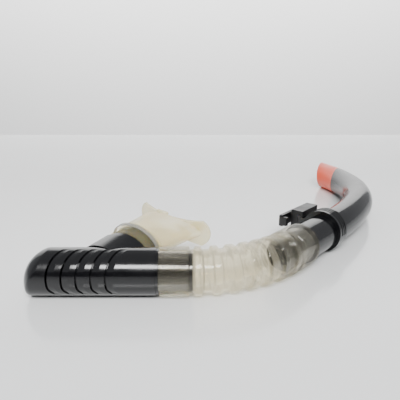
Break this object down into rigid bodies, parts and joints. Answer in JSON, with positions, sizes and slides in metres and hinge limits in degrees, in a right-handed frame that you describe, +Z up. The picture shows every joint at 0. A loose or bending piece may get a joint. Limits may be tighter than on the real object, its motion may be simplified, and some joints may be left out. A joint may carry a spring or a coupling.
{
  "type": "snorkel",
  "caption": "Bent-barrel snorkel lying on its side: silicone mouthpiece, purge chamber, clear corrugated hose, gloss barrel and a strap keeper.",
  "frame": {"origin": "on the surface that the snorkel lies on, under the middle of its footprint", "axes": "+X along the chamber towards the hose, +Z up from the surface, +Y to the side that the barrel bends to"},
  "size_m": [0.2606, 0.2729, 0.0357],
  "materials": {
    "black_abs": "moulded gloss black ABS",
    "clear_pvc": "clear plasticised PVC, slightly yellowed",
    "clear_silicone": "translucent silicone rubber, yellowed",
    "grey_band": "smoky translucent elastomer",
    "orange_abs": "moulded orange ABS",
    "black_acetal": "moulded black acetal, satin"
  },
  "bodies": {
    "chamber": {"chamber_body": "black_abs", "purge_cover": "black_abs", "valve_seat": "black_abs", "mouthpiece": "clear_silicone", "mouthpiece_band": "grey_band", "hose_lower_cuff": "clear_pvc"},
    "valve": {"purge_valve": "clear_silicone"},
    "hose_link_2": {"hose_ridge_2": "clear_pvc"},
    "hose_link_3": {"hose_ridge_3": "clear_pvc"},
    "hose_link_4": {"hose_ridge_4": "clear_pvc"},
    "hose_link_5": {"hose_ridge_5": "clear_pvc"},
    "hose_link_6": {"hose_ridge_6": "clear_pvc"},
    "upper_cuff": {"hose_upper_cuff": "clear_pvc"},
    "barrel": {"barrel_spigot": "black_abs", "barrel_tube": "black_abs", "tip_liner": "black_abs", "barrel_tip": "orange_abs"},
    "keeper": {"keeper_ring": "black_abs"},
    "release": {"release_block": "black_acetal", "clip_pin": "black_acetal"},
    "clip": {"strap_clip": "black_acetal"}
  },
  "joints": [
    {"name": "hose_bend_1", "type": "hinge", "parent": "chamber", "child": "hose_link_2", "pos_m": [-0.02407, -0.12133, 0.01465], "axis": [0, 0, 1], "range_deg": [-8.22, 6.6], "stiffness_Nm_per_rad": 0.3, "deforming": ["hose_ridge_2"]},
    {"name": "hose_bend_2", "type": "hinge", "parent": "hose_link_2", "child": "hose_link_3", "pos_m": [-0.01418, -0.11949, 0.01465], "axis": [0, 0, 1], "range_deg": [-8.22, 6.6], "stiffness_Nm_per_rad": 0.3, "deforming": ["hose_ridge_3"]},
    {"name": "hose_bend_3", "type": "hinge", "parent": "hose_link_3", "child": "hose_link_4", "pos_m": [-0.00459, -0.11644, 0.01465], "axis": [0, 0, 1], "range_deg": [-8.22, 6.6], "stiffness_Nm_per_rad": 0.3, "deforming": ["hose_ridge_4"]},
    {"name": "hose_bend_4", "type": "hinge", "parent": "hose_link_4", "child": "hose_link_5", "pos_m": [0.00456, -0.11224, 0.01465], "axis": [0, 0, 1], "range_deg": [-8.22, 6.6], "stiffness_Nm_per_rad": 0.3, "deforming": ["hose_ridge_5"]},
    {"name": "hose_bend_5", "type": "hinge", "parent": "hose_link_5", "child": "hose_link_6", "pos_m": [0.01313, -0.10696, 0.01465], "axis": [0, 0, 1], "range_deg": [-8.22, 6.6], "stiffness_Nm_per_rad": 0.3, "deforming": ["hose_ridge_6"]},
    {"name": "hose_bend_6", "type": "hinge", "parent": "hose_link_6", "child": "upper_cuff", "pos_m": [0.02098, -0.10066, 0.01465], "axis": [0, 0, 1], "range_deg": [-8.22, 6.6], "stiffness_Nm_per_rad": 0.3},
    {"name": "barrel_twist", "type": "hinge", "parent": "upper_cuff", "child": "barrel", "pos_m": [0.028, -0.09345, 0.01465], "axis": [0.6521, 0.7581, -0.0086], "continuous": true},
    {"name": "keeper_slide", "type": "slide", "parent": "barrel", "child": "keeper", "axis": [0.6521, 0.7581, -0.0086], "range_m": [-0.022, 0.006]},
    {"name": "release_slide", "type": "slide", "parent": "keeper", "child": "release", "axis": [0.6521, 0.7581, -0.0086], "range_m": [0, 0.02]},
    {"name": "clip_turn", "type": "hinge", "parent": "release", "child": "clip", "pos_m": [0.04836, -0.03152, 0.01753], "axis": [-0.7581, 0.6521, 0], "range_deg": [-45, 45]},
    {"name": "purge_lift", "type": "slide", "parent": "chamber", "child": "valve", "axis": [-1, 0, 0], "range_m": [0, 0.0015], "stiffness_N_per_m": 30}
  ]
}
